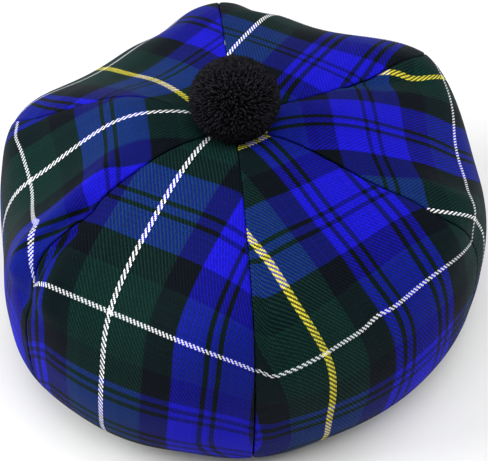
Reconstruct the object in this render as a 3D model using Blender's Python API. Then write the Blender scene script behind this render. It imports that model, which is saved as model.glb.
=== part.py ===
"""A full tam o shanter: six cloth gores, a headband and a pompom.

Metres, +Z up. The headband stands on z = 0, the hat's front faces -Y, and the origin is under the
middle of the whole hat. The crown's centre sits a little forward and to the left of that middle.
"""
import math

import bmesh
import bpy
from mathutils import Vector

MM = 0.001

# Driving dimensions, in metres.
HEAD_CIRCUMFERENCE = 0.570
CROWN_HEIGHT = 0.139
CLOTH = 0.0020
GAP = 0.0003
SEAM_GAP = 0.0005
TIP_RADIUS = 0.0030
BAND_HEIGHT = 0.024
BAND_THICKNESS = 0.0025
BAND_ROUNDING = 0.0008
POMPOM_RADIUS = 0.0235
POMPOM_HALF_HEIGHT = 0.0215
POMPOM_FLAT = 0.0055
POMPOM_LUMP = 0.0005
POMPOM_SEAT = -0.0002
CROWN_CENTRE = Vector((-0.005, -0.010))

# Mesh fineness. The headband has as many facets as the six gores have columns.
GORE_COLUMNS = 10
GORE_ROWS = 28
POMPOM_SEGMENTS = 28
POMPOM_RINGS = 14

BAND_INNER = HEAD_CIRCUMFERENCE / (2.0 * math.pi)
BAND_OUTER = BAND_INNER + BAND_THICKNESS
JOIN_OUT = (BAND_OUTER + GAP) / MM
JOIN_UP = (BAND_HEIGHT - CLOTH - CROWN_HEIGHT) / MM

# The cloth's path from the crown's centre, over the rim and under, to the headband: along a seam,
# and along the middle of a gore. There is a row for each STATION_STEP of cloth, in millimetres
# outwards, and upwards from CROWN_HEIGHT. The pompom's stitches pull the tip down into a dimple.
STATION_STEP = 28.0
STATIONS = (
    # name, seam_out, seam_up, mid_out, mid_up
    ("tip", 0, -4, 0, -4),
    ("crown_inner", 28, 0, 28, 0),
    ("crown_middle", 56, -2, 56, -3),
    ("crown_outer", 83, -8, 82, -12),
    ("shoulder", 110, -16, 107, -24),
    ("rim", 134, -30, 129, -42),
    ("side_upper", 143, -56, 140, -67),
    ("side_lower", 145, -84, 143, -95),
    ("belly", 142, -111, 136, -122),
    ("under", 124, -131, 112, -134),
    ("band", JOIN_OUT, JOIN_UP, JOIN_OUT, JOIN_UP),
)

# How each seam strays from an even hat, because the cloth is soft. Degrees: azimuth at the rim,
# swing on the crown, turn on the side. Millimetres: reach outwards and lift at the rim, and dip,
# which is up where it is positive, in the middle of the crown.
SEAMS = (
    # name, azimuth, swing, turn, reach, lift, dip
    ("front", -90, 0, 0, -16, 5, 3),
    ("front_right", -28, -3, 7, -9, -2, -1),
    ("back_right", 33, -2, 9, 12, 0, -7),
    ("back", 90, 0, -2, 4, 4, 0),
    ("back_left", 158, -3, -6, -3, -8, 6),
    ("front_left", 210, 2, 3, -10, -3, 5),
)

# The same for the middle of each gore, between its seam and the next: puff is how far it swells
# above the crown, and lean is how far its middle goes round towards the next seam, in degrees.
GORES = (
    # name, reach, lift, puff, lean
    ("gore_front_right", 0, 0, -1, 2),
    ("gore_right", 1, 1, 5, 0),
    ("gore_back_right", 1, 1, 0, 0),
    ("gore_back_left", 0, -3, -3, 1),
    ("gore_left", -7, 1, 7, -1),
    ("gore_front_left", 3, 0, 3, -3),
)

# Dents and folds in the finished hat, each along a line from one place on the cloth to another:
# how wide they are to either side of that line, and how deep. A negative depth is a swelling.
FOLDS = (
    # name, azimuth_1, along_1, azimuth_2, along_2, half_width_mm, depth_mm
    ("valley_beside_back_right_seam", 27, 88, 25, 110, 9, 4.0),
    ("dent_under_right_rim", -20, 150, -20, 152, 15, 2.0),
    ("crest_above_front_right_seam", -21, 108, -17, 142, 9, -2.5),
    ("hollow_beside_front_seam", 277, 142, 281, 152, 10, 2.5),
    ("crest_on_left_side", 203, 80, 206, 146, 9, -4.5),
    ("valley_beside_front_left_seam", 210, 100, 211, 158, 7, 4.0),
    ("crest_beside_front_left_seam", 217, 118, 218, 150, 8, -2.0),
    ("slope_left_of_back_seam", 106, 130, 104, 155, 14, 4.0),
    ("slope_right_of_back_seam", 80, 130, 80, 150, 10, 3.0),
)

CLOTH_LENGTH = STATION_STEP * (len(STATIONS) - 1)
SEAM_COUNT = len(SEAMS)


def ease(value, start, end):
    """0 up to start, 1 from end on, and smooth in between."""
    share = min(max((value - start) / (end - start), 0.0), 1.0)
    return share * share * (3.0 - 2.0 * share)


def rim_share(along):
    """How much of a rim offset is felt: none at the crown's centre or at the headband."""
    return ease(along, 20, 120) * (1.0 - ease(along, 215, 278))


def crown_share(along):
    """How much of a crown offset is felt: all of it half way out, none at the rim."""
    return ease(along, 5, 60) * (1.0 - ease(along, 65, 125))


def side_share(along):
    """How much of a side offset is felt."""
    return ease(along, 120, 170) * (1.0 - ease(along, 215, 278))


def through_stations(column, along):
    """A smooth curve through one column of STATIONS (Catmull-Rom)."""
    values = [row[column] for row in STATIONS]
    values = [2 * values[0] - values[1]] + values + [2 * values[-1] - values[-2]]
    index = min(int(along / STATION_STEP), len(STATIONS) - 2)
    f = along / STATION_STEP - index
    a, b, c, d = values[index:index + 4]
    slope = (c - a) * f
    bend = (2 * a - 5 * b + 4 * c - d) * f * f
    twist = (3 * b - a - 3 * c + d) * f * f * f
    return 0.5 * (2 * b + slope + bend + twist)


def seam_place(number, along):
    """(outwards, upwards, azimuth in degrees) of a point on a seam."""
    turns, row = divmod(number, SEAM_COUNT)
    name, azimuth, swing, turn, reach, lift, dip = SEAMS[row]
    even = -90.0 + 60.0 * row
    rim = rim_share(along)
    out = through_stations(1, along) + reach * rim
    up = through_stations(2, along) + lift * rim
    stray = (azimuth - even) * (1.0 - ease(along, 215, 278))
    stray += swing * crown_share(along) + turn * side_share(along)
    return out, up, even + stray + 360.0 * turns


def gore_place(number, along, across):
    """The same on a gore. across runs from -1 at its first seam to 1 at its second one."""
    name, reach, lift, puff, lean = GORES[number]
    first_dip = SEAMS[number][6]
    second_dip = SEAMS[(number + 1) % SEAM_COUNT][6]
    out_1, up_1, azimuth_1 = seam_place(number, along)
    out_2, up_2, azimuth_2 = seam_place(number + 1, along)
    half = (1.0 + across) / 2.0
    bell = 0.5 + 0.5 * math.cos(math.pi * across)
    rim = rim_share(along)
    mid_out = through_stations(3, along) - through_stations(1, along) + reach * rim
    mid_up = through_stations(4, along) - through_stations(2, along) + lift * rim
    swell = puff * (1.0 - across * across)
    swell += first_dip * (1.0 - half) ** 3 + second_dip * half ** 3
    out = out_1 * (1.0 - half) + out_2 * half + mid_out * bell
    up = up_1 * (1.0 - half) + up_2 * half + mid_up * bell + swell * crown_share(along)
    azimuth = azimuth_1 * (1.0 - half) + azimuth_2 * half + lean * bell * rim
    return out, up, azimuth


def inward(number, along, across):
    """The direction into the hat, (outwards, upwards), square to the cloth's path."""
    if along >= CLOTH_LENGTH:
        return 0.0, 1.0
    step = 2.0
    low = max(along - step, 0.0)
    high = min(along + step, CLOTH_LENGTH)
    out_1, up_1, _ = gore_place(number, low, across)
    out_2, up_2, _ = gore_place(number, high, across)
    length = math.hypot(out_2 - out_1, up_2 - up_1)
    return (up_2 - up_1) / length, -(out_2 - out_1) / length


def fold_depth(along, azimuth, out):
    """How far the folds push the cloth inwards here, in millimetres."""
    depth = 0.0
    for name, azimuth_1, along_1, azimuth_2, along_2, half_width, fold_depth_mm in FOLDS:
        turn = (azimuth - azimuth_1 + 180.0) % 360.0 - 180.0
        x = math.radians(turn) * out
        y = along - along_1
        line_x = math.radians(azimuth_2 - azimuth_1) * out
        line_y = along_2 - along_1
        share = (x * line_x + y * line_y) / (line_x * line_x + line_y * line_y)
        share = min(max(share, 0.0), 1.0)
        distance = math.hypot(x - share * line_x, y - share * line_y)
        depth += fold_depth_mm * math.exp(-(distance / half_width) ** 2)
    return depth


def cloth_point(number, along, across, layer):
    """A point of a gore, in metres. layer is 0 on the outer face and 1 on the inner one."""
    out, up, azimuth = gore_place(number, along, across)
    in_out, in_up = inward(number, along, across)
    depth = fold_depth(along, azimuth, out) + layer * CLOTH / MM
    radius = max(out + depth * in_out, TIP_RADIUS / MM) * MM
    height = CROWN_HEIGHT + (up + depth * in_up) * MM
    at_seam = int(round(across)) if abs(across) > 0.999 else 0
    angle = math.radians(azimuth) - at_seam * math.asin(SEAM_GAP / 2 / radius)
    place = Vector((radius * math.cos(angle), radius * math.sin(angle), height))
    return place + CROWN_CENTRE.to_3d()


def finish(name, bm, material):
    """Makes the object from a closed mesh, with its faces outwards and its round sides smooth."""
    bmesh.ops.recalc_face_normals(bm, faces=bm.faces[:])
    mesh = bpy.data.meshes.new(name)
    bm.to_mesh(mesh)
    bm.free()
    mesh.materials.append(material)
    mesh.shade_smooth()
    mesh.set_sharp_from_angle(angle=math.radians(50))
    thing = bpy.data.objects.new(name, mesh)
    bpy.context.scene.collection.objects.link(thing)
    return thing


def make_material(name, colour, roughness):
    """A Principled BSDF with one colour, given as linear red, green and blue."""
    material = bpy.data.materials.new(name)
    material.use_nodes = True
    shader = material.node_tree.nodes["Principled BSDF"]
    shader.inputs["Base Color"].default_value = (*colour, 1.0)
    shader.inputs["Roughness"].default_value = roughness
    shader.inputs["Metallic"].default_value = 0.0
    return material


def make_gore(number, material):
    """One gore: a flat cut piece laid out as a grid, bent to shape, with an inner face."""
    bm = bmesh.new()
    bmesh.ops.create_grid(bm, x_segments=GORE_COLUMNS, y_segments=GORE_ROWS, size=1.0)
    outer = bm.verts[:]
    copy = bmesh.ops.duplicate(bm, geom=bm.verts[:] + bm.edges[:] + bm.faces[:])
    inner = [item for item in copy["geom"] if isinstance(item, bmesh.types.BMVert)]
    for layer, verts in enumerate((outer, inner)):
        for vert in verts:
            across = vert.co.x
            along = CLOTH_LENGTH * (vert.co.y + 1.0) / 2.0
            vert.co = cloth_point(number, along, across, layer)
    rims = [edge for edge in bm.edges if edge.is_boundary]
    bmesh.ops.bridge_loops(bm, edges=rims)
    return finish(GORES[number][0], bm, material)


def make_headband(material):
    """A folded band: a ring with a flat lower edge, turned from a small rounded rectangle."""
    inner, outer, r = BAND_INNER, BAND_OUTER, BAND_ROUNDING
    outline = (
        (inner + r, 0.0),
        (outer - r, 0.0),
        (outer, r),
        (outer, BAND_HEIGHT - r),
        (outer - r, BAND_HEIGHT),
        (inner + r, BAND_HEIGHT),
        (inner, BAND_HEIGHT - r),
        (inner, r),
    )
    bm = bmesh.new()
    start = math.radians(-90.0)
    side = Vector((math.cos(start), math.sin(start), 0.0))
    centre = CROWN_CENTRE.to_3d()
    verts = [bm.verts.new(centre + side * out + Vector((0, 0, up))) for out, up in outline]
    edges = [bm.edges.new((verts[i - 1], verts[i])) for i in range(len(verts))]
    bmesh.ops.spin(
        bm,
        geom=verts + edges,
        cent=centre,
        axis=(0, 0, 1),
        angle=math.tau,
        steps=GORE_COLUMNS * SEAM_COUNT,
        use_merge=True,
    )
    return finish("headband", bm, material)


def make_pompom(material):
    """The outer form of the yarn ball: a little flattened, lumpy, and flat where it is sewn on."""
    bm = bmesh.new()
    bmesh.ops.create_uvsphere(
        bm, u_segments=POMPOM_SEGMENTS, v_segments=POMPOM_RINGS, radius=POMPOM_RADIUS
    )
    for vert in bm.verts:
        x, y, z = vert.co / POMPOM_RADIUS
        lump = math.sin(5 * x + 1) * math.sin(4 * y + 2) * math.sin(5 * z)
        vert.co += vert.co.normalized() * POMPOM_LUMP * lump
    squeeze = (1.0, 1.0, POMPOM_HALF_HEIGHT / POMPOM_RADIUS)
    bmesh.ops.scale(bm, vec=squeeze, verts=bm.verts[:])
    cut_height = POMPOM_FLAT - POMPOM_HALF_HEIGHT
    bmesh.ops.bisect_plane(
        bm,
        geom=bm.verts[:] + bm.edges[:] + bm.faces[:],
        plane_co=(0, 0, cut_height),
        plane_no=(0, 0, -1),
        clear_outer=True,
    )
    rim = [edge for edge in bm.edges if edge.is_boundary]
    bmesh.ops.contextual_create(bm, geom=rim)
    seat = CROWN_HEIGHT + POMPOM_SEAT
    bmesh.ops.translate(
        bm, verts=bm.verts[:], vec=CROWN_CENTRE.to_3d() + Vector((0, 0, seat - cut_height))
    )
    return finish("pompom", bm, material)


for thing in list(bpy.data.objects):
    bpy.data.objects.remove(thing)

tartan = make_material("tartan_wool", (0.012, 0.014, 0.110), 0.85)
band_cloth = make_material("headband_wool", (0.010, 0.011, 0.013), 0.85)
yarn = make_material("pompom_yarn", (0.006, 0.006, 0.007), 0.95)

for gore_number in range(len(GORES)):
    make_gore(gore_number, tartan)
make_headband(band_cloth)
make_pompom(yarn)
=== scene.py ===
# %% [markdown]
# # A full tam o shanter
#
# A tam o shanter is a round woollen cap, far wider than the head, with a yarn pompom on its
# crown. This one is sewn from six gores of tartan cloth. Each gore is one cut piece that runs
# from the middle of the crown, over the rim and under it, to a headband.
#
# This script dresses a finished model. The solids of that model give every place and size, and
# what is made here replaces them with cloth, yarn and stitches in the same places.

import math

import bmesh
import bpy
import numpy as np
from mathutils import Matrix, Quaternion, Vector, noise


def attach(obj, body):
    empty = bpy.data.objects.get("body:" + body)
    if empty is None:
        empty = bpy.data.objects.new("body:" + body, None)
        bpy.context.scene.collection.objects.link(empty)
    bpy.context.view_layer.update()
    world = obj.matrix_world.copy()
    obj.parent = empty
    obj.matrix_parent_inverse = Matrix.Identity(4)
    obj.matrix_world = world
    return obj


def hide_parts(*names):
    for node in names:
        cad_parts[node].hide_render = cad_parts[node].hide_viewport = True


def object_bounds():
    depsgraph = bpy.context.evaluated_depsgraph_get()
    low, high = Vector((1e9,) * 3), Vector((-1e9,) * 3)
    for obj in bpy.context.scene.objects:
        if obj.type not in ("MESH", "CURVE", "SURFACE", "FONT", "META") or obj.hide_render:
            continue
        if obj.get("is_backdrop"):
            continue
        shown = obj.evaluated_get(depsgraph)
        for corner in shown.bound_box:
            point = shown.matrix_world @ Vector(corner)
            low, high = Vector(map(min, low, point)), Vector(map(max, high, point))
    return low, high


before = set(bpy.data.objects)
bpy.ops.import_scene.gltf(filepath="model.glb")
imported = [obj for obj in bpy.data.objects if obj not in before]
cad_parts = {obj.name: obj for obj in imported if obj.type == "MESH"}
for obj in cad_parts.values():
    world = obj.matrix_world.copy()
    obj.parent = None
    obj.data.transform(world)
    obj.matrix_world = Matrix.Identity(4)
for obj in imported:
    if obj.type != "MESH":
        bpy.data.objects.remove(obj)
cad_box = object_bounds()
MM = 0.001
print("nodes:", sorted(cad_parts))

# %% [markdown]
# ## Camera
#
# A photograph is copied from where it was taken, so the camera comes first. Its direction,
# distance and focal length were fitted to the hat's outline and seams. A camera looks along its
# own -Z, so a track quaternion turns it towards the point in the middle of the picture, and a
# small turn about its own axis gives the photograph's tilt.

# %% Camera
CAMERA_AIM = Vector((-0.0007, -0.0203, 0.0690))
CAMERA_AZIMUTH = math.radians(-94.93)
CAMERA_ELEVATION = math.radians(45.98)
CAMERA_DISTANCE = 0.739
CAMERA_ROLL = math.radians(0.33)
CAMERA_FOCAL_PX = 1344.0
PHOTO_WIDTH_PX = 488.0

camera_data = bpy.data.cameras.new("camera")
camera_data.lens = camera_data.sensor_width * CAMERA_FOCAL_PX / PHOTO_WIDTH_PX
camera = bpy.data.objects.new("camera", camera_data)
bpy.context.scene.collection.objects.link(camera)
backwards = Vector(
    (
        math.cos(CAMERA_ELEVATION) * math.cos(CAMERA_AZIMUTH),
        math.cos(CAMERA_ELEVATION) * math.sin(CAMERA_AZIMUTH),
        math.sin(CAMERA_ELEVATION),
    )
)
camera.location = CAMERA_AIM + backwards * CAMERA_DISTANCE
camera.rotation_mode = "QUATERNION"
camera.rotation_quaternion = backwards.to_track_quat("Z", "Y") @ Quaternion((0, 0, 1), CAMERA_ROLL)
bpy.context.scene.camera = camera
print("focal length, mm:", round(camera_data.lens, 1))

# %% [markdown]
# ## Two small helpers
#
# Colours are easiest to read as the hex values of a picture, but a shader adds and multiplies
# light, so it needs linear numbers. One function turns the one into the other. A second one adds
# a node to any node tree: settings are the node's own properties, and each input takes either a
# plain value or the socket that feeds it.


# %% Helpers for materials
def linear(hex_colour):
    """A colour such as "1C14DC" as linear red, green, blue and alpha."""
    channels = [int(hex_colour[i : i + 2], 16) / 255.0 for i in (0, 2, 4)]
    return (*((c / 12.92 if c <= 0.04045 else ((c + 0.055) / 1.055) ** 2.4) for c in channels), 1.0)


def add_node(tree, kind, inputs=None, **settings):
    """Adds a node with its settings, and fills or links its inputs."""
    node = tree.nodes.new(kind)
    for name, value in settings.items():
        setattr(node, name, value)
    for socket, value in (inputs or {}).items():
        if isinstance(value, bpy.types.NodeSocket):
            tree.links.new(value, node.inputs[socket])
        else:
            node.inputs[socket].default_value = value
    return node


def new_material(name):
    """An empty material with its Principled shader already at the output."""
    material = bpy.data.materials.new(name)
    material.use_nodes = True
    return material, material.node_tree, material.node_tree.nodes["Principled BSDF"]


# %% [markdown]
# ## Floor and light
#
# The hat stands on a plain pale floor. The light is that of a small studio: a large soft lamp
# overhead, a second one on the left that makes the folds there gleam, a weak one on the right, and
# a dim surrounding, so that no shadow is hard. The colours are shown by the Standard view
# transform, because the cloth's blue is as strong as a screen can show and a film-like transform
# would grey it.

# %% Floor and light
FLOOR_SIZE = 6.0
FLOOR_COLOUR = "DCDCDC"
LAMPS = (
    # name, place, size in metres, watts
    ("overhead", Vector((0.1, -0.4, 1.6)), 1.2, 21.0),
    ("left", Vector((-1.3, 0.0, 0.85)), 0.9, 25.0),
    ("right", Vector((1.2, -0.1, 0.9)), 0.9, 9.0),
)
SURROUND_STRENGTH = 0.35

bpy.context.scene.view_settings.view_transform = "Standard"
bm = bmesh.new()
bmesh.ops.create_grid(bm, x_segments=1, y_segments=1, size=FLOOR_SIZE / 2)
floor_mesh = bpy.data.meshes.new("floor")
bm.to_mesh(floor_mesh)
bm.free()
floor = bpy.data.objects.new("floor", floor_mesh)
bpy.context.scene.collection.objects.link(floor)
floor_paper, tree, shader = new_material("floor_matt_paper")
shader.inputs["Base Color"].default_value = linear(FLOOR_COLOUR)
shader.inputs["Roughness"].default_value = 0.9
floor_mesh.materials.append(floor_paper)
floor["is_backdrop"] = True

for name, place, size, watts in LAMPS:
    lamp_data = bpy.data.lights.new(name, "AREA")
    lamp_data.size = size
    lamp_data.energy = watts
    lamp = bpy.data.objects.new(name, lamp_data)
    lamp.location = place
    lamp.rotation_mode = "QUATERNION"
    lamp.rotation_quaternion = (place - CAMERA_AIM).to_track_quat("Z", "Y")
    bpy.context.scene.collection.objects.link(lamp)

world = bpy.data.worlds.new("surround")
world.use_nodes = True
bpy.context.scene.world = world
surround = world.node_tree.nodes["Background"]
surround.inputs["Color"].default_value = linear("FFFFFF")
surround.inputs["Strength"].default_value = SURROUND_STRENGTH
print("lamps:", len(LAMPS), "with watts in all:", sum(watts for name, place, size, watts in LAMPS))

# %% [markdown]
# ## The shape of the hat
#
# Cloth is soft, so no two gores of a real hat are alike, and no single turned shape would do. The
# model therefore starts from one section, the cloth's path from the middle of the crown to the
# headband, and then lets each seam and each gore stray from it. The tables are those of the solid
# model, apart from CREASES, which are too fine for it, and a seam gap that is a little narrower.
# Lengths are in millimetres and angles in degrees.

# %% Tables of the shape
CROWN_CENTRE = np.array((-0.005, -0.010, 0.0))
CROWN_HEIGHT = 139.0
TIP_RADIUS = 3.0
SEAM_GAP = 0.4
STATION_STEP = 28.0
BAND_INNER = 570.0 / math.tau
BAND_OUTER = BAND_INNER + 2.5
BAND_HEIGHT = 24.0
JOIN_OUT = BAND_OUTER + 0.3
JOIN_UP = BAND_HEIGHT - 2.0 - CROWN_HEIGHT

STATIONS = (
    # name, seam_out, seam_up, mid_out, mid_up
    ("tip", 0, -4, 0, -4),
    ("crown_inner", 28, 0, 28, 0),
    ("crown_middle", 56, -2, 56, -3),
    ("crown_outer", 83, -8, 82, -12),
    ("shoulder", 110, -16, 107, -24),
    ("rim", 134, -30, 129, -42),
    ("side_upper", 143, -56, 140, -67),
    ("side_lower", 145, -84, 143, -95),
    ("belly", 142, -111, 136, -122),
    ("under", 124, -131, 112, -134),
    ("band", JOIN_OUT, JOIN_UP, JOIN_OUT, JOIN_UP),
)
SEAMS = (
    # name, azimuth, swing, turn, reach, lift, dip
    ("front", -90, 0, 0, -16, 5, 3),
    ("front_right", -28, -3, 7, -9, -2, -1),
    ("back_right", 33, -2, 9, 12, 0, -7),
    ("back", 90, 0, -2, 4, 4, 0),
    ("back_left", 158, -3, -6, -3, -8, 6),
    ("front_left", 210, 2, 3, -10, -3, 5),
)
GORES = (
    # name, reach, lift, puff, lean
    ("gore_front_right", 0, 0, -1, 2),
    ("gore_right", 1, 1, 5, 0),
    ("gore_back_right", 1, 1, 0, 0),
    ("gore_back_left", 0, -3, -3, 1),
    ("gore_left", -7, 1, 7, -1),
    ("gore_front_left", 3, 0, 3, -3),
)
FOLDS = (
    # name, azimuth_1, along_1, azimuth_2, along_2, half_width_mm, depth_mm
    ("valley_beside_back_right_seam", 27, 88, 25, 110, 9, 4.0),
    ("dent_under_right_rim", -20, 150, -20, 152, 15, 2.0),
    ("crest_above_front_right_seam", -21, 108, -17, 142, 9, -2.5),
    ("hollow_beside_front_seam", 277, 142, 281, 152, 10, 2.5),
    ("crest_on_left_side", 203, 80, 206, 146, 9, -4.5),
    ("valley_beside_front_left_seam", 210, 100, 211, 158, 7, 4.0),
    ("crest_beside_front_left_seam", 217, 118, 218, 150, 8, -2.0),
    ("slope_left_of_back_seam", 106, 130, 104, 155, 14, 4.0),
    ("slope_right_of_back_seam", 80, 130, 80, 150, 10, 3.0),
)
CREASES = (
    # the same columns, for folds too fine for the solid model
    ("upper_crease_on_left_side", 208.5, 104, 206.5, 136, 2.2, 1.8),
    ("ridge_on_left_side", 210, 108, 209.5, 140, 2.0, -1.0),
    ("lower_crease_on_left_side", 212.5, 112, 212.5, 146, 2.2, 1.8),
    ("crease_under_left_side", 215.5, 130, 216, 158, 2.5, 1.0),
    ("crease_beside_front_seam", 273, 128, 276, 160, 4.0, 1.5),
    ("crease_in_back_right_valley", 30, 70, 27, 108, 3.0, 1.5),
)
# Columns of STATIONS and of SEAMS that are read by number.
SEAM_OUT, SEAM_UP, MID_OUT, MID_UP = 1, 2, 3, 4
SEAM_DIP = 6
CLOTH_LENGTH = STATION_STEP * (len(STATIONS) - 1)
SEAM_COUNT = len(SEAMS)
FIRST_SEAM = -90.0
EVEN_ANGLE = 360.0 / SEAM_COUNT
print("cloth from crown to headband, mm:", CLOTH_LENGTH)

# %% [markdown]
# Each function below works on whole arrays at once, a row of the array for each step along the
# cloth and a column for each step across the gore. That is why a fine grid takes no time.
#
# An offset in the tables is not felt everywhere. It grows from nothing to all of itself along one
# stretch of the cloth and fades along another, so the tables need no row for where it ends.

# %% Where the offsets are felt, in millimetres along the cloth
CROWN_GROWS = (5, 60)
CROWN_FADES = (65, 125)
RIM_GROWS = (20, 120)
SIDE_GROWS = (120, 170)
GATHERS = (215, 278)
PATH_STEP = 2.0
print("gathered onto the headband over, mm:", GATHERS[1] - GATHERS[0])


# %% Functions of the shape
def ease(value, start, end):
    """0 up to start, 1 from end on, and smooth in between."""
    share = np.clip((value - start) / (end - start), 0.0, 1.0)
    return share * share * (3.0 - 2.0 * share)


def rim_share(along):
    """How much of a rim offset is felt: none at the crown's centre or at the headband."""
    return ease(along, *RIM_GROWS) * (1.0 - ease(along, *GATHERS))


def crown_share(along):
    """How much of a crown offset is felt: all of it half way out, none at the rim."""
    return ease(along, *CROWN_GROWS) * (1.0 - ease(along, *CROWN_FADES))


def side_share(along):
    """How much of a side offset is felt: none on the crown or at the headband."""
    return ease(along, *SIDE_GROWS) * (1.0 - ease(along, *GATHERS))


def through_stations(column, along):
    """A smooth curve through one column of STATIONS (Catmull-Rom)."""
    values = [row[column] for row in STATIONS]
    values = [2 * values[0] - values[1]] + values + [2 * values[-1] - values[-2]]
    index = np.minimum((along / STATION_STEP).astype(int), len(STATIONS) - 2)
    f = along / STATION_STEP - index
    a, b, c, d = (np.array(values, dtype=float)[index + step] for step in range(4))
    slope = (c - a) * f
    bend = (2 * a - 5 * b + 4 * c - d) * f**2
    twist = (3 * b - a - 3 * c + d) * f**3
    return 0.5 * (2 * b + slope + bend + twist)


def seam_place(number, along):
    """(outwards, upwards, azimuth in degrees) along a seam."""
    turns, row = divmod(number, SEAM_COUNT)
    azimuth, swing, turn, reach, lift = SEAMS[row][1:SEAM_DIP]
    even = FIRST_SEAM + EVEN_ANGLE * row
    rim = rim_share(along)
    out = through_stations(SEAM_OUT, along) + reach * rim
    up = through_stations(SEAM_UP, along) + lift * rim
    stray = (azimuth - even) * (1.0 - ease(along, *GATHERS))
    stray = stray + swing * crown_share(along) + turn * side_share(along)
    return out, up, even + stray + 360.0 * turns


def gore_place(number, along, across):
    """The same on a gore. across runs from -1 at its first seam to 1 at its second one."""
    reach, lift, puff, lean = GORES[number][1:]
    first_dip = SEAMS[number][SEAM_DIP]
    second_dip = SEAMS[(number + 1) % SEAM_COUNT][SEAM_DIP]
    out_1, up_1, azimuth_1 = seam_place(number, along)
    out_2, up_2, azimuth_2 = seam_place(number + 1, along)
    half = (1.0 + across) / 2.0
    bell = 0.5 + 0.5 * np.cos(np.pi * across)
    rim = rim_share(along)
    mid_out = through_stations(MID_OUT, along) - through_stations(SEAM_OUT, along) + reach * rim
    mid_up = through_stations(MID_UP, along) - through_stations(SEAM_UP, along) + lift * rim
    swell = puff * (1.0 - across * across)
    swell = swell + first_dip * (1.0 - half) ** 3 + second_dip * half**3
    out = out_1 * (1.0 - half) + out_2 * half + mid_out * bell
    up = up_1 * (1.0 - half) + up_2 * half + mid_up * bell + swell * crown_share(along)
    azimuth = azimuth_1 * (1.0 - half) + azimuth_2 * half + lean * bell * rim
    return out, up, azimuth


def inward(number, along, across):
    """The direction into the hat, (outwards, upwards), square to the cloth's path."""
    before = np.maximum(along - PATH_STEP, 0.0)
    after = np.minimum(along + PATH_STEP, CLOTH_LENGTH)
    out_1, up_1 = gore_place(number, before, across)[:2]
    out_2, up_2 = gore_place(number, after, across)[:2]
    length = np.hypot(out_2 - out_1, up_2 - up_1)
    return (up_2 - up_1) / length, -(out_2 - out_1) / length


def fold_depth(along, azimuth, out):
    """How far the folds push the cloth inwards here."""
    depth = np.zeros_like(out)
    for name, azimuth_1, along_1, azimuth_2, along_2, half_width, deepest in FOLDS + CREASES:
        turn = (azimuth - azimuth_1 + 180.0) % 360.0 - 180.0
        x = np.radians(turn) * out
        y = along - along_1
        line_x = np.radians(azimuth_2 - azimuth_1) * out
        line_y = along_2 - along_1
        share = (x * line_x + y * line_y) / (line_x * line_x + line_y * line_y)
        share = np.clip(share, 0.0, 1.0)
        distance = np.hypot(x - share * line_x, y - share * line_y)
        depth = depth + deepest * np.exp(-((distance / half_width) ** 2))
    return depth


def cloth_points(number, along, across):
    """The outer face of a gore as an array of points, in metres."""
    out, up, azimuth = gore_place(number, along, across)
    in_out, in_up = inward(number, along, across)
    depth = fold_depth(along, azimuth, out)
    radius = np.maximum(out + depth * in_out, TIP_RADIUS)
    height = CROWN_HEIGHT + up + depth * in_up
    angle = np.radians(azimuth) - across * np.arcsin(SEAM_GAP / 2 / radius)
    place = np.stack((radius * np.cos(angle), radius * np.sin(angle), height), axis=-1)
    return place * MM + CROWN_CENTRE


# %% [markdown]
# ## Where each thread lies
#
# A tartan is woven square and then cut, so the pattern has to follow the cloth and not the hat.
# Every point of a gore therefore gets the place it had on the flat cloth: u across the gore from
# its middle, and v along it. u is measured along the row, and v is what is left of each step
# along the cloth once its sideways part is taken off, as in a right-angled triangle.


# %% Flat coordinates of the cloth
def flat_cloth(points, middle):
    """u and v of each grid point, in metres, with u = 0 on the middle column."""
    across_steps = np.linalg.norm(np.diff(points, axis=1), axis=2)
    u = np.concatenate((np.zeros((len(points), 1)), np.cumsum(across_steps, axis=1)), axis=1)
    u = u - u[:, middle : middle + 1]
    along_steps = np.linalg.norm(np.diff(points, axis=0), axis=2)
    forward = np.sqrt(np.maximum(along_steps**2 - np.diff(u, axis=0) ** 2, 0.0))
    v = np.concatenate((np.zeros((1, points.shape[1])), np.cumsum(forward, axis=0)), axis=0)
    return u, v


# %% [markdown]
# ## The tartan
#
# The sett is the order of coloured threads, and it is the same across the cloth as along it. From
# the white line it runs green, black, blue with a pair of black lines, black, green, yellow, and
# then green, black, blue with two pairs of black lines, black, green and back to white.
#
# A 2/2 twill passes each thread over two and under two, one thread further on at each row. That
# makes the slanted lines of the cloth, and it mixes two colours where they cross. So the material
# weaves: it works out which end and which pick a point lies on, looks both up in the sett, and
# shows the one that is on top. The threads are 0.53 mm and 0.81 mm apart, as counted in the photo.

# %% The sett
END_SPACING = 0.53 * MM
PICK_SPACING = 0.81 * MM
WHITE, YELLOW = "FCFDFF", "F4E94A"
BLUE, GREEN, BLACK = "1B17D6", "16433C", "111C28"
SETT = (
    # name, colour, width_mm
    ("half_white_line", WHITE, 1.8),
    ("green", GREEN, 19.8),
    ("black", BLACK, 15.4),
    ("blue", BLUE, 16.0),
    ("black_line", BLACK, 3.0),
    ("blue_between", BLUE, 3.7),
    ("black_line", BLACK, 3.0),
    ("blue", BLUE, 16.0),
    ("black", BLACK, 15.4),
    ("green", GREEN, 19.8),
    ("yellow_line", YELLOW, 3.4),
    ("green", GREEN, 19.8),
    ("black", BLACK, 15.4),
    ("narrow_blue", BLUE, 4.6),
    ("black_line", BLACK, 3.0),
    ("blue_between", BLUE, 3.7),
    ("black_line", BLACK, 3.0),
    ("wide_blue", BLUE, 18.0),
    ("black_line", BLACK, 3.0),
    ("blue_between", BLUE, 3.7),
    ("black_line", BLACK, 3.0),
    ("narrow_blue", BLUE, 4.6),
    ("black", BLACK, 15.4),
    ("green", GREEN, 19.8),
    ("half_white_line", WHITE, 1.8),
)
SETT_LENGTH = sum(width for name, colour, width in SETT) * MM
print("sett repeats every, mm:", round(SETT_LENGTH / MM, 1))

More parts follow.
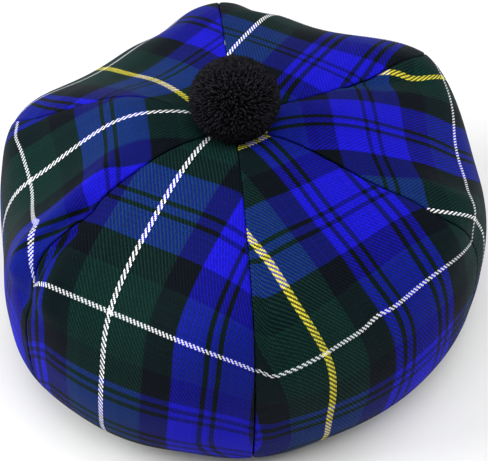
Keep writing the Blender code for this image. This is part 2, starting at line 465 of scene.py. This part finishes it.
# %% The weave's light and relief
# Worsted wool twill: matt, with a little sheen from its short fibres, and slanted lines in relief.
# An end runs along the gore and a pick across it. TWILL_REPEAT is in threads, and the other
# values without MM are shares of the light or of the relief. GAP_LIGHT and PICK_LIGHT are painted
# shade: the share of the colour left in the gaps and on the deeper picks. BRIGHT_GAP is the share
# of that painted shade that the brightest threads still show.
TWILL_REPEAT = 4.0
PICK_SHARE = 0.7
GAP_LIGHT = 0.15
PICK_LIGHT = 0.6
BRIGHT_GAP = 0.5
LIGHT_SPREAD = 0.56
THROUGH_ENDS = 0.14
THROUGH_PICKS = 0.42
DULLEST_THREAD, THREAD_SPREAD = 0.8, 0.4
DULLEST_FUZZ, FUZZ_SPREAD = 0.3, 1.4
FUZZ_GRAIN = 0.45 * MM
FUZZ_HEIGHT = 0.3
THREAD_RELIEF = 0.18 * MM
SHEEN_TINT = "C8D8F4"
tartan, tree, shader = new_material("worsted_wool_tartan_twill")
print("ends in one sett:", round(SETT_LENGTH / END_SPACING))
print("picks in one sett:", round(SETT_LENGTH / PICK_SPACING))


# %% Functions for a woven pattern
def maths(operation, a, b=0.0, c=0.0):
    """The result of one arithmetic node in the tree of the material that is being made."""
    node = add_node(tree, "ShaderNodeMath", {0: a, 1: b, 2: c}, operation=operation)
    return node.outputs["Value"]


def sett_colour(thread, spacing):
    """The colour of a thread, from its number and the threads' spacing."""
    place = maths("MULTIPLY", maths("ADD", thread, 0.5), spacing / SETT_LENGTH)
    ramp = add_node(tree, "ShaderNodeValToRGB", {"Fac": maths("FRACT", place)})
    ramp.color_ramp.interpolation = "CONSTANT"
    stops = ramp.color_ramp.elements
    reached = 0.0
    for number, (name, colour, width) in enumerate(SETT):
        if number < 2:
            stops[number].position = reached
        else:
            stops.new(reached)
        stops[number].color = linear(colour)
        reached += width * MM / SETT_LENGTH
    return ramp.outputs["Color"]


def brightness(colour):
    """The largest of a colour's red, green and blue."""
    parts = add_node(tree, "ShaderNodeSeparateColor", {"Color": colour}, mode="HSV")
    return parts.outputs[2]


def lets_in(colour):
    """How much of the light goes into a thread: little for white or yellow, most for the rest."""
    luminance = add_node(tree, "ShaderNodeRGBToBW", {"Color": colour}).outputs["Val"]
    return maths("SUBTRACT", 1.0, maths("MULTIPLY", luminance, luminance))


def dome(value):
    """1 in the middle of a thread and 0 at its sides, from a place between 0 and 1."""
    parabola = maths("MULTIPLY", value, maths("SUBTRACT", 1.0, value))
    return maths("SQRT", maths("MULTIPLY", parabola, 4.0))


# %% Which thread lies where
cloth_uv = add_node(tree, "ShaderNodeUVMap", uv_map="cloth")
split = add_node(tree, "ShaderNodeSeparateXYZ", {"Vector": cloth_uv.outputs["UV"]})
ends = maths("DIVIDE", split.outputs["X"], END_SPACING)
picks = maths("DIVIDE", split.outputs["Y"], PICK_SPACING)
end_number = maths("FLOOR", ends)
pick_number = maths("FLOOR", picks)
step_in_twill = maths("FLOORED_MODULO", maths("ADD", end_number, pick_number), TWILL_REPEAT)
end_on_top = maths("LESS_THAN", step_in_twill, TWILL_REPEAT / 2 - 0.5)

# How far each thread has come along its stretch on top, from 0 to 1 there.
end_along = maths("FLOORED_MODULO", maths("ADD", end_number, picks), TWILL_REPEAT)
end_along = maths("MULTIPLY", end_along, 2.0 / TWILL_REPEAT)
pick_along = maths("FLOORED_MODULO", maths("ADD", ends, pick_number), TWILL_REPEAT)
pick_along = maths("MULTIPLY_ADD", pick_along, 2.0 / TWILL_REPEAT, -1.0)
end_relief = maths("MULTIPLY", dome(maths("FRACT", ends)), dome(maths("MINIMUM", end_along, 1.0)))
pick_relief = maths(
    "MULTIPLY", dome(maths("FRACT", picks)), dome(maths("MAXIMUM", pick_along, 0.0))
)
relief = add_node(
    tree,
    "ShaderNodeMix",
    {"Factor": end_on_top, "A": maths("MULTIPLY", pick_relief, PICK_SHARE), "B": end_relief},
).outputs["Result"]
print("nodes so far:", len(tree.nodes))

# %% [markdown]
# A Mix node has a pair of inputs for each kind of data, all called A and B, so its colours are
# reached by number: 6 and 7, and 2 for the result. The yarn is dyed in one batch, but no two
# threads are quite alike, so each gets its own shade from its number. The colour also gets painted
# shade. It is darkened towards each thread's sides and in the gaps between threads, where light is
# lost, and more on the picks, which lie deeper than the ends. That painted shade is what draws the
# slanted lines even where both have one colour.
#
# Light also spreads inside wool. What enters a blue thread that crosses black ones mostly ends in
# the black, so blue crossed with black is much darker than half of each. A bright thread sends
# the light straight back and loses little, which is why the white lines stay white. It also lights
# the gaps beside it, so less painted shade goes into them. The ends are set closer than the picks.
# So hardly any of a pick's colour comes through where an end lies on top, and much of an end's
# colour comes through between the picks.

# %% Shade, light and colour of each thread
shade_of_ends, shade_of_picks = (
    add_node(tree, "ShaderNodeTexWhiteNoise", {"W": thread}, noise_dimensions="1D").outputs["Value"]
    for thread in (end_number, pick_number)
)
thread_shade = add_node(
    tree, "ShaderNodeMix", {"Factor": end_on_top, "A": shade_of_picks, "B": shade_of_ends}
).outputs["Result"]
fuzz = add_node(
    tree,
    "ShaderNodeTexNoise",
    {"Vector": cloth_uv.outputs["UV"], "Scale": 1.0 / FUZZ_GRAIN, "Detail": 2.0},
)
# Painted shade: the colour is darkened at each thread's sides and in the gaps, and more on the
# picks.
light_left = maths("MULTIPLY_ADD", relief, 1.0 - GAP_LIGHT, GAP_LIGHT)
depth_light = maths("MULTIPLY_ADD", end_on_top, 1.0 - PICK_LIGHT, PICK_LIGHT)
light_left = maths("MULTIPLY", light_left, depth_light)
colour_of_ends = sett_colour(end_number, END_SPACING)
colour_of_picks = sett_colour(pick_number, PICK_SPACING)
colour_on_top = add_node(
    tree,
    "ShaderNodeMix",
    {0: end_on_top, 6: colour_of_picks, 7: colour_of_ends},
    data_type="RGBA",
).outputs[2]
colour_beneath = add_node(
    tree,
    "ShaderNodeMix",
    {0: end_on_top, 6: colour_of_ends, 7: colour_of_picks},
    data_type="RGBA",
).outputs[2]
print("colours in the sett:", len({colour for name, colour, width in SETT}))

# %% Painted shade in the gaps, and light lost inside the wool
top_lets_in = lets_in(colour_on_top)
gap_shows = maths("MULTIPLY_ADD", brightness(colour_on_top), BRIGHT_GAP - 1.0, 1.0)
light_lost = maths("MULTIPLY", maths("SUBTRACT", 1.0, light_left), gap_shows)
light_left = maths("SUBTRACT", 1.0, light_lost)
dye_light = maths("MULTIPLY_ADD", thread_shade, THREAD_SPREAD, DULLEST_THREAD)
light_left = maths("MULTIPLY", light_left, dye_light)
fuzz_light = maths("MULTIPLY_ADD", fuzz.outputs["Fac"], FUZZ_SPREAD, DULLEST_FUZZ)
light_left = maths("MULTIPLY", light_left, fuzz_light)
swallows = maths("SUBTRACT", 1.0, maths("SQRT", brightness(colour_beneath)))
lost = maths("MULTIPLY", maths("MULTIPLY", top_lets_in, swallows), LIGHT_SPREAD)
light_left = maths("MULTIPLY", light_left, maths("SUBTRACT", 1.0, lost))
shared = maths("MULTIPLY_ADD", end_on_top, THROUGH_ENDS - THROUGH_PICKS, THROUGH_PICKS)
shared = maths("MULTIPLY", shared, maths("MULTIPLY", top_lets_in, lets_in(colour_beneath)))
mingled_colour = add_node(
    tree, "ShaderNodeMix", {0: shared, 6: colour_on_top, 7: colour_beneath}, data_type="RGBA"
).outputs[2]
shaded_colour = add_node(
    tree, "ShaderNodeVectorMath", {0: mingled_colour, "Scale": light_left}, operation="SCALE"
)
tree.links.new(shaded_colour.outputs["Vector"], shader.inputs["Base Color"])
height = maths("MULTIPLY_ADD", fuzz.outputs["Fac"], FUZZ_HEIGHT, relief)
bump = add_node(
    tree, "ShaderNodeBump", {"Height": height, "Strength": 1.0, "Distance": THREAD_RELIEF}
)
tree.links.new(bump.outputs["Normal"], shader.inputs["Normal"])
shader.inputs["Roughness"].default_value = 0.6
shader.inputs["Specular IOR Level"].default_value = 0.03
shader.inputs["Sheen Weight"].default_value = 0.015
shader.inputs["Sheen Tint"].default_value = linear(SHEEN_TINT)
shader.inputs["Sheen Roughness"].default_value = 0.5
print("tartan nodes:", len(tree.nodes))

# %% [markdown]
# ## A gore
#
# A gore is cut flat, so it starts as a flat grid. Its columns are packed towards the two seams,
# because there the cloth turns inwards in a small roll, where the next gore is sewn on. The
# inside of the cloth is a Solidify modifier, which makes a wall of even thickness. It works on
# the side that the faces turn away from. The rows run from the crown outwards, so the grid's
# faces end up looking into the hat, and they are turned round before anything else. To
# recalculate them would be a guess, because an open sheet has no inside.
#
# Sewing draws cloth a little one way or the other, so its lines are never quite straight. EASES
# says where, by how much and over what stretch.

# %% Sizes of a gore
# The cloth lies tight at the crown's middle and at the headband. So puckers and waves grow over
# TIP_TIGHT and fade over BAND_TIGHT, both in millimetres along the cloth. PUCKER_SWAY and
# SWAY_PER_METRE, in radians, make the puckers uneven. WIDEST_ROLL is a share of half the width.
COLUMNS = 72
ROWS = 200
CLOTH_THICKNESS = 1.1 * MM
SEAM_ROLL = 1.2 * MM
PUCKER_DEPTH = 0.1 * MM
PUCKER_REACH = 7.0 * MM
PUCKER_SPACING = 9.0 * MM
PUCKER_SWAY = 3.0
SWAY_PER_METRE = 40.0
TIP_TIGHT = (8.0, 40.0)
BAND_TIGHT = (250.0, 275.0)
WIDEST_ROLL = 0.3
SOFT_WAVE = 0.5 * MM
SOFT_WAVE_SIZE = 38.0 * MM
print("faces on each gore's outer side:", COLUMNS * ROWS)

# %% Where the threads lie and where sewing drew them
EASES = (
    # gore, across, along, half_width, half_length_mm, shift_u_mm, shift_v_mm
    ("gore_front_left", 0.8, 142, 0.30, 30, -1, 0),
    ("gore_front_left", -0.4, 195, 0.60, 30, 0, 3),
    ("gore_front_left", 0.2, 222, 0.90, 24, 4.5, 0),
    ("gore_front_right", -1.0, 94, 0.15, 25, 2, 0),
    ("gore_front_right", 0.0, 24, 2.00, 14, 0, 1.2),
    ("gore_front_right", -1.0, 160, 0.07, 50, 0, 9),
    ("gore_front_right", -1.0, 155, 0.25, 40, 12, 0),
    ("gore_front_right", 0.5, 142, 0.45, 40, 0, 4),
    ("gore_front_right", -0.9, 165, 0.08, 40, 0, 1.5),
    ("gore_front_right", -0.62, 160, 0.15, 40, 0, -1.5),
    ("gore_front_right", -0.08, 142, 0.12, 30, 0, 2),
    ("gore_front_right", -0.6, 205, 0.40, 40, 3, 0),
    ("gore_front_right", -0.6, 245, 0.50, 25, -8, 0),
    ("gore_front_right", -0.2, 222, 0.35, 24, 4, 0),
    ("gore_front_right", -0.9, 205, 0.30, 30, 0, 4),
    ("gore_front_right", -0.7, 145, 0.30, 25, 1.5, 0),
    ("gore_front_right", 0.1, 145, 0.15, 30, -3, 0),
    ("gore_right", 0.8, 114, 0.20, 14, 5, 0),
    ("gore_right", 0.97, 130, 0.12, 25, 0, -3),
    ("gore_right", -0.9, 135, 0.20, 20, -1.5, 0),
    ("gore_right", -0.9, 90, 0.30, 20, 0, -3),
    ("gore_right", 0.45, 130, 0.30, 30, 0, -3),
    ("gore_right", -0.65, 134, 0.20, 20, 0, 4),
    ("gore_back_right", -0.7, 60, 0.60, 60, -6, 0),
    ("gore_back_right", -0.8, 130, 0.40, 30, 0, -4),
    ("gore_back_left", 0.0, 125, 0.50, 25, 4, 0),
    ("gore_back_left", 0.85, 122, 0.35, 30, 0, -6),
    ("gore_left", -0.9, 28, 0.50, 16, 1, 0),
    ("gore_left", 0.75, 122, 0.30, 35, 0, 6),
    ("gore_left", 0.75, 118, 0.22, 12, 0, 7),
    ("gore_left", 1.0, 122, 0.16, 30, 0, 5),
    ("gore_left", 0.4, 126, 0.20, 25, 0, 2),
    ("gore_left", -0.78, 133, 0.12, 20, 0, -2),
    ("gore_left", -0.3, 55, 0.50, 30, -2, 0),
    ("gore_left", -0.9, 90, 0.35, 60, -4, 0),
)
THREAD_PLACES = {
    # gore: (u, v) of a white line's crossing, in millimetres on the flat cloth
    "gore_front_left": (-7.5, 124.4),
    "gore_front_right": (-157.2, 131.5),
    "gore_right": (-62.1, 128.3),
    "gore_back_right": (28.9, 129.0),
    "gore_back_left": (-108.3, 117.5),
    "gore_left": (-11.0, 122.5),
}
print("eased places:", len(EASES))


# %% Functions for a gore
def outward_normals(points):
    """The direction out of the hat at each grid point."""
    normals = np.cross(np.gradient(points, axis=1), -np.gradient(points, axis=0))
    length = np.linalg.norm(normals, axis=2, keepdims=True)
    normals = normals / np.maximum(length, 1e-12)
    # The first row, at the tip, is taken to face straight up.
    normals[0] = (0.0, 0.0, 1.0)
    return normals


def seam_roll(to_seam, roll):
    """How far the cloth turns inwards, as a quarter circle, this far from the seam."""
    reach = np.clip(roll - to_seam, 0.0, roll)
    return roll - np.sqrt(roll**2 - reach**2)


def soft_waves(points):
    """Slow, shallow unevenness, as cloth has where nothing pulls on it."""
    flat = points.reshape(-1, 3) / SOFT_WAVE_SIZE
    return np.array([noise.noise(place) for place in flat]).reshape(points.shape[:2])


def eased(name, along, across):
    """How far sewing drew the threads along, (u, v) in metres, near the places in EASES."""
    shift_u = np.zeros_like(across)
    shift_v = np.zeros_like(across)
    for gore, middle_across, middle_along, half_width, half_length, u_mm, v_mm in EASES:
        if gore == name:
            spread = ((across - middle_across) / half_width) ** 2
            spread = spread + ((along - middle_along) / half_length) ** 2
            shift_u += u_mm * MM * np.exp(-spread)
            shift_v += v_mm * MM * np.exp(-spread)
    return shift_u, shift_v


def sewn_shape(number, along, across):
    """A gore's points with seam rolls, puckers and soft waves, and the flat place of each."""
    points = cloth_points(number, along, across)
    u, v = flat_cloth(points, COLUMNS // 2)
    half_width = np.where(u < 0.0, -u[:, :1], u[:, -1:])
    to_seam = half_width - np.abs(u)
    depth = seam_roll(to_seam, np.minimum(SEAM_ROLL, WIDEST_ROLL * half_width))
    near_seam = np.exp(-to_seam / PUCKER_REACH)
    sway = PUCKER_SWAY * np.sin(SWAY_PER_METRE * v + number)
    pucker = np.sin(math.tau * v / PUCKER_SPACING + sway)
    loose = ease(along, *TIP_TIGHT) * (1.0 - ease(along, *BAND_TIGHT))
    depth = depth + PUCKER_DEPTH * pucker * near_seam * loose
    depth = depth + SOFT_WAVE * soft_waves(points) * loose * (1.0 - near_seam)
    return points - depth[:, :, None] * outward_normals(points), u, v


def gore_grid():
    """along and across for each row and column, with the columns packed towards the seams."""
    even = np.linspace(-1.0, 1.0, COLUMNS + 1)[None, :]
    across = (1.5 * even - 0.5 * even**3) * np.ones((ROWS + 1, 1))
    along = np.linspace(0.0, CLOTH_LENGTH, ROWS + 1)[:, None] * np.ones((1, COLUMNS + 1))
    return along, across


def map_threads(bm, flat_u, flat_v):
    """Writes each vertex's place on the woven cloth into the UV map that the weave reads."""
    cloth_map = bm.loops.layers.uv.new("cloth")
    bm.verts.index_update()
    for face in bm.faces:
        for loop in face.loops:
            loop[cloth_map].uv = (flat_u[loop.vert.index], flat_v[loop.vert.index])


def finish_piece(name, bm, material):
    """Turns a bmesh into a smooth object with one material."""
    mesh = bpy.data.meshes.new(name)
    bm.to_mesh(mesh)
    bm.free()
    mesh.materials.append(material)
    mesh.shade_smooth()
    piece = bpy.data.objects.new(name, mesh)
    bpy.context.scene.collection.objects.link(piece)
    return piece


def make_gore(number):
    """One gore: a flat grid bent to shape, with the place of each thread in its UV map."""
    name = GORES[number][0]
    bm = bmesh.new()
    bmesh.ops.create_grid(bm, x_segments=COLUMNS, y_segments=ROWS, size=1.0)
    bmesh.ops.reverse_faces(bm, faces=bm.faces[:])
    column = np.array([round((vert.co.x + 1.0) / 2.0 * COLUMNS) for vert in bm.verts])
    row = np.array([round((vert.co.y + 1.0) / 2.0 * ROWS) for vert in bm.verts])
    along, across = gore_grid()
    points, u, v = sewn_shape(number, along, across)
    for vert, place in zip(bm.verts, points[row, column]):
        vert.co = place

    white_u, white_v = (value * MM for value in THREAD_PLACES[name])
    shift_u, shift_v = eased(name, along, across)
    map_threads(bm, (u + shift_u - white_u)[row, column], (white_v - v - shift_v)[row, column])
    gore = finish_piece(name + "_cloth", bm, tartan)
    wall = gore.modifiers.new("wall", "SOLIDIFY")
    wall.thickness = CLOTH_THICKNESS
    wall.offset = -1.0
    wall.use_even_offset = False
    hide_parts(name)
    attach(gore, "root")


# %% The six gores
for number in range(len(GORES)):
    make_gore(number)

# %% [markdown]
# ## The headband
#
# The headband is a strip of plain dark wool, folded lengthways so that the fold lies at the
# bottom and both raw edges are caught in the seam at the top. Its section is a narrow U, and a
# spin carries that section once around the head. A row of running stitches holds it.

# %% Sizes of the headband
BAND_CLOTH = 1.0 * MM
BAND_STEPS = 200
BAND_ROWS = 12
STITCH_LENGTH = 3.0 * MM
STITCH_COUNT = 142
STITCH_BELOW_TOP = 6.0 * MM
STITCH_RADIUS = 0.32 * MM
BAND_WAVE = 0.25 * MM
BEND_TURNS = (45.0, 90.0, 135.0)
print("headband, mm high:", BAND_HEIGHT, "and round inside:", round(BAND_INNER * math.tau))

# %% The headband's section, spun
inner_line = BAND_INNER * MM + BAND_CLOTH / 2
outer_line = BAND_OUTER * MM - BAND_CLOTH / 2
fold_radius = (outer_line - inner_line) / 2
fold_height = fold_radius + BAND_CLOTH / 2
top_height = BAND_HEIGHT * MM
levels = np.linspace(top_height, fold_height, BAND_ROWS)
section = [(inner_line, level) for level in levels]
for turn in BEND_TURNS:
    out = inner_line + fold_radius * (1.0 - math.cos(math.radians(turn)))
    section.append((out, fold_height - fold_radius * math.sin(math.radians(turn))))
section += [(outer_line, level) for level in levels[::-1]]

bm = bmesh.new()
middle = Vector(CROWN_CENTRE)
verts = [bm.verts.new(middle + Vector((0.0, -out, up))) for out, up in section]
edges = [bm.edges.new(pair) for pair in zip(verts, verts[1:])]
bmesh.ops.spin(
    bm,
    geom=verts + edges,
    cent=middle,
    axis=(0, 0, 1),
    angle=math.tau,
    steps=BAND_STEPS,
    use_merge=True,
)
bmesh.ops.remove_doubles(bm, verts=bm.verts[:], dist=0.01 * MM)
bmesh.ops.recalc_face_normals(bm, faces=bm.faces[:])
for vert in bm.verts:
    outwards = Vector((vert.co.x - middle.x, vert.co.y - middle.y, 0.0)).normalized()
    vert.co += outwards * BAND_WAVE * noise.noise(vert.co / SOFT_WAVE_SIZE)
print("points in the section:", len(section), "faces round the band:", len(bm.faces))

# %% [markdown]
# The band's wool is plain woven, one thread over and one under, so its grain is a fine, even
# chequer with no slant. Two sine waves make it, one round the band and one up it. Their product
# raises the cloth, and it also picks a shade between two that are nearly black: paler on the
# raised threads and darker between them, which is painted shade. The fuzz noise adds a random tone.

# %% The headband's cloth
BAND_THREAD = 0.6 * MM
BAND_RELIEF = 0.15 * MM
GRAIN_HEIGHT = 0.5
GRAIN_LIGHT = 0.25
BAND_DARK, BAND_PALE = "0A0B0E", "24262B"
band_wool, tree, shader = new_material("plain_woven_black_wool")
place = add_node(tree, "ShaderNodeTexCoord").outputs["Object"]
split = add_node(tree, "ShaderNodeSeparateXYZ", {"Vector": place})
from_x = maths("SUBTRACT", split.outputs["X"], middle.x)
from_y = maths("SUBTRACT", split.outputs["Y"], middle.y)
angle_round = maths("ARCTAN2", from_y, from_x)
round_thread = maths("MULTIPLY", angle_round, BAND_INNER * MM * math.pi / BAND_THREAD)
up_thread = maths("MULTIPLY", split.outputs["Z"], math.pi / BAND_THREAD)
grain = maths("MULTIPLY", maths("SINE", round_thread), maths("SINE", up_thread))
fuzz = add_node(
    tree, "ShaderNodeTexNoise", {"Vector": place, "Scale": 1.0 / BAND_THREAD, "Detail": 3.0}
).outputs["Fac"]
height = maths("MULTIPLY_ADD", grain, GRAIN_HEIGHT, fuzz)
bump = add_node(tree, "ShaderNodeBump", {"Height": height, "Distance": BAND_RELIEF})
tree.links.new(bump.outputs["Normal"], shader.inputs["Normal"])
# Painted shade: paler where the grain raises the cloth, darker between the threads.
light_on_grain = maths("MULTIPLY_ADD", grain, GRAIN_LIGHT, fuzz)
band_ramp = add_node(tree, "ShaderNodeValToRGB", {"Fac": light_on_grain})
band_ramp.color_ramp.elements[0].color = linear(BAND_DARK)
band_ramp.color_ramp.elements[1].color = linear(BAND_PALE)
tree.links.new(band_ramp.outputs["Color"], shader.inputs["Base Color"])
shader.inputs["Roughness"].default_value = 0.85
shader.inputs["Specular IOR Level"].default_value = 0.1
print("band threads round the head:", round(BAND_INNER * MM * math.tau / BAND_THREAD))

# %% The headband's wall
headband = finish_piece("headband_cloth", bm, band_wool)
wall = headband.modifiers.new("wall", "SOLIDIFY")
wall.thickness = BAND_CLOTH
wall.offset = 0.0
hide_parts("headband")
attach(headband, "root")

# %% [markdown]
# The row of running stitches is sewn in the band's own colour. A stitch is a short bead, half sunk
# in the cloth, so it is a stretched ball of few faces. A spin that duplicates repeats it around
# the band: it turns by a whole circle less one stitch, because the first one is already there.

# %% The row of stitches
bm = bmesh.new()
bmesh.ops.create_uvsphere(bm, u_segments=6, v_segments=4, radius=STITCH_RADIUS)
lying = Matrix.Rotation(math.pi / 2, 3, "Y")
bmesh.ops.rotate(bm, cent=(0, 0, 0), matrix=lying, verts=bm.verts[:])
bmesh.ops.scale(bm, vec=(STITCH_LENGTH / 2 / STITCH_RADIUS, 1, 1), verts=bm.verts[:])
stitch_place = middle + Vector((0.0, -BAND_INNER * MM, top_height - STITCH_BELOW_TOP))
bmesh.ops.translate(bm, vec=stitch_place, verts=bm.verts[:])
bmesh.ops.spin(
    bm,
    geom=bm.verts[:] + bm.edges[:] + bm.faces[:],
    cent=middle,
    axis=(0, 0, 1),
    angle=math.tau * (STITCH_COUNT - 1) / STITCH_COUNT,
    steps=STITCH_COUNT - 1,
    use_duplicate=True,
)
bmesh.ops.recalc_face_normals(bm, faces=bm.faces[:])
stitches = finish_piece("headband_stitches", bm, band_wool)
print("stitches:", STITCH_COUNT, "faces:", len(stitches.data.polygons))
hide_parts("headband")
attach(stitches, "root")

# %% [markdown]
# ## The pompom
#
# A pompom is a thick bundle of yarn, tied in the middle and clipped to a ball. What shows is
# thousands of cut ends, each a tuft that spreads where the shears went through it. So a dark core
# is made first, one tuft is made once, and Geometry Nodes plants the tuft all over the core: a
# Poisson disk keeps the points evenly apart without lining them up, as in packed yarn.

# %% Sizes of the pompom
POMPOM_RADIUS = 23.5 * MM
POMPOM_HALF_HEIGHT = 21.5 * MM
POMPOM_BASE = 138.8 * MM
POMPOM_FLAT = 5.5 * MM
TUFT_LENGTH = 5.0 * MM
TUFT_FOOT = 0.18 * MM
TUFT_HEAD = 0.44 * MM
TUFT_APART = 0.75 * MM
FIBRE_RADIUS = 0.06 * MM
FIBRE_LENGTH = 3.2 * MM
FIBRES = (
    # turn, lean, in radians
    (0.0, 0.14),
    (2.6, 0.20),
)
TUFT_SIZES = (0.88, 1.06)
TUFT_TILT = 0.22
DARTS_PER_TUFT = 3.0
core_radius = POMPOM_RADIUS - TUFT_LENGTH
core_half_height = POMPOM_HALF_HEIGHT - TUFT_LENGTH
pompom_middle = middle + Vector((0.0, 0.0, POMPOM_BASE - POMPOM_FLAT + POMPOM_HALF_HEIGHT))
lowest_tuft = pompom_middle.z + core_half_height * (POMPOM_FLAT / POMPOM_HALF_HEIGHT - 1.0)
print("pompom's middle, mm above the floor:", round(pompom_middle.z / MM, 1))

# %% The pompom's core
bm = bmesh.new()
bmesh.ops.create_uvsphere(bm, u_segments=48, v_segments=24, radius=core_radius)
bmesh.ops.scale(bm, vec=(1, 1, core_half_height / core_radius), verts=bm.verts[:])
bmesh.ops.translate(bm, vec=pompom_middle, verts=bm.verts[:])
bmesh.ops.bisect_plane(
    bm,
    geom=bm.verts[:] + bm.edges[:] + bm.faces[:],
    plane_co=(0, 0, POMPOM_BASE),
    plane_no=(0, 0, -1),
    clear_outer=True,
)
rim = [edge for edge in bm.edges if edge.is_boundary]
bmesh.ops.contextual_create(bm, geom=rim)
print("core faces:", len(bm.faces))

# %% [markdown]
# The yarn is spun wool dyed black. It swallows nearly all light, and only the cut faces of some
# ends catch a little, which gives the ball its fine grey speckle. That speckle is painted
# highlight, spread at random: each tuft carries a random number of its own, called shade, and a
# colour ramp turns it into one of many near blacks. The paler ones stand in for the caught light.

# %% The yarn
YARN_DARK, YARN_PALE = "101014", "232328"
DARK_SHARE = 0.2
yarn, tree, shader = new_material("cut_black_wool_yarn")
shade = add_node(tree, "ShaderNodeAttribute", attribute_name="shade", attribute_type="GEOMETRY")
# Painted highlight: the higher a tuft's random shade, the paler its near black.
yarn_ramp = add_node(tree, "ShaderNodeValToRGB", {"Fac": shade.outputs["Fac"]})
yarn_ramp.color_ramp.elements[0].color = linear(YARN_DARK)
yarn_ramp.color_ramp.elements[0].position = DARK_SHARE
yarn_ramp.color_ramp.elements[1].color = linear(YARN_PALE)
tree.links.new(yarn_ramp.outputs["Color"], shader.inputs["Base Color"])
shader.inputs["Roughness"].default_value = 0.9
shader.inputs["Specular IOR Level"].default_value = 0.05
pompom = finish_piece("pompom_yarn", bm, yarn)
print("yarn made:", yarn.name)

# %% [markdown]
# A tuft is a five-sided cone that widens to its cut end. Poking the end sets a point in its middle
# and lowers it, as sheared yarn is hollow there. Two thinner fibres, which are tubes with open
# ends, lean out of the tuft and break up the ball's outline. It all has only a few faces, because
# thousands of copies follow.

# %% One tuft
bm = bmesh.new()
bmesh.ops.create_cone(
    bm, segments=5, radius1=TUFT_FOOT, radius2=TUFT_HEAD, depth=TUFT_LENGTH, cap_ends=True
)
cut_end = [face for face in bm.faces if face.normal.z > 0.9]
bmesh.ops.poke(bm, faces=cut_end, offset=-TUFT_HEAD / 2)
bmesh.ops.translate(bm, vec=(0, 0, TUFT_LENGTH / 2), verts=bm.verts[:])
for turn, lean in FIBRES:
    fibre = bmesh.ops.create_cone(
        bm, segments=3, radius1=FIBRE_RADIUS, radius2=FIBRE_RADIUS / 3, depth=FIBRE_LENGTH
    )["verts"]
    bmesh.ops.translate(bm, vec=(0, 0, TUFT_LENGTH - FIBRE_LENGTH / 3), verts=fibre)
    lean_out = Matrix.Rotation(turn, 3, "Z") @ Matrix.Rotation(lean, 3, "Y")
    bmesh.ops.rotate(bm, cent=(0, 0, TUFT_LENGTH / 2), matrix=lean_out, verts=fibre)
tuft = finish_piece("one_tuft", bm, yarn)
print("tuft faces:", len(tuft.data.polygons))

# %% [markdown]
# Geometry Nodes now plants the tuft. The core's faces get the points, except low down, where the
# ball sits on the crown. Each copy stands square to the core, is turned by a random angle, leans
# a little, and has its own size and shade. Realize Instances makes real mesh of all the copies,
# and the finished mesh takes the modifier's place, so nothing is left to be worked out later.

# %% The tufts, planted by Geometry Nodes
planter = bpy.data.node_groups.new("plant_tufts", "GeometryNodeTree")
planter.interface.new_socket("Geometry", in_out="INPUT", socket_type="NodeSocketGeometry")
planter.interface.new_socket("Geometry", in_out="OUTPUT", socket_type="NodeSocketGeometry")
entry = planter.nodes.new("NodeGroupInput")
way_out = planter.nodes.new("NodeGroupOutput")
position = add_node(planter, "GeometryNodeInputPosition")
split = add_node(planter, "ShaderNodeSeparateXYZ", {"Vector": position.outputs["Position"]})
high_enough = add_node(
    planter,
    "FunctionNodeCompare",
    {"A": split.outputs["Z"], "B": lowest_tuft},
    operation="GREATER_THAN",
)
points = add_node(
    planter,
    "GeometryNodeDistributePointsOnFaces",
    {
        "Mesh": entry.outputs["Geometry"],
        "Selection": high_enough.outputs["Result"],
        "Distance Min": TUFT_APART,
        "Density Max": DARTS_PER_TUFT / TUFT_APART**2,
        "Seed": 7,
    },
    distribute_method="POISSON",
)
smallest, largest = TUFT_SIZES
size = add_node(planter, "FunctionNodeRandomValue", {2: smallest, 3: largest, "Seed": 1})
tilt = add_node(
    planter,
    "FunctionNodeRandomValue",
    {
        0: (-TUFT_TILT, -TUFT_TILT, -math.pi),
        1: (TUFT_TILT, TUFT_TILT, math.pi),
        "Seed": 2,
    },
    data_type="FLOAT_VECTOR",
)
tuft_shape = add_node(planter, "GeometryNodeObjectInfo", {"Object": tuft})
tufts = add_node(
    planter,
    "GeometryNodeInstanceOnPoints",
    {
        "Points": points.outputs["Points"],
        "Instance": tuft_shape.outputs["Geometry"],
        "Rotation": points.outputs["Rotation"],
        "Scale": size.outputs[1],
    },
)
turned = add_node(
    planter,
    "GeometryNodeRotateInstances",
    {"Instances": tufts.outputs["Instances"], "Rotation": tilt.outputs[0]},
)
# A random number for each tuft, which the yarn's colour ramp turns into painted highlight.
random_shade = add_node(planter, "FunctionNodeRandomValue", {2: 0.0, 3: 1.0, "Seed": 3})
shaded = add_node(
    planter,
    "GeometryNodeStoreNamedAttribute",
    {"Geometry": turned.outputs["Instances"], "Name": "shade", "Value": random_shade.outputs[1]},
    domain="INSTANCE",
    data_type="FLOAT",
)
together = add_node(planter, "GeometryNodeJoinGeometry")
planter.links.new(entry.outputs["Geometry"], together.inputs["Geometry"])
planter.links.new(shaded.outputs["Geometry"], together.inputs["Geometry"])
real = add_node(
    planter, "GeometryNodeRealizeInstances", {"Geometry": together.outputs["Geometry"]}
)
planter.links.new(real.outputs["Geometry"], way_out.inputs["Geometry"])
print("planting nodes:", len(planter.nodes))

# %% The pompom's finished mesh
planting = pompom.modifiers.new("plant_tufts", "NODES")
planting.node_group = planter
graph = bpy.context.evaluated_depsgraph_get()
planted = bpy.data.meshes.new_from_object(pompom.evaluated_get(graph))
pompom.modifiers.remove(planting)
pompom.data = planted
bpy.data.objects.remove(tuft)
planted.calc_loop_triangles()
print("pompom triangles:", len(planted.loop_triangles))
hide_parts("pompom")
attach(pompom, "root")

# %% [markdown]
# ## Last check
#
# The cloth may stand a little proud of the solid model, but the hat must keep its size. So the
# boxes before and after are compared, and the largest change is printed.

# %% Close
new_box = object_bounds()
changes = [abs(new[axis] - old[axis]) for new, old in zip(new_box, cad_box) for axis in range(3)]
print("largest change of the box, mm:", round(max(changes) / MM, 2))
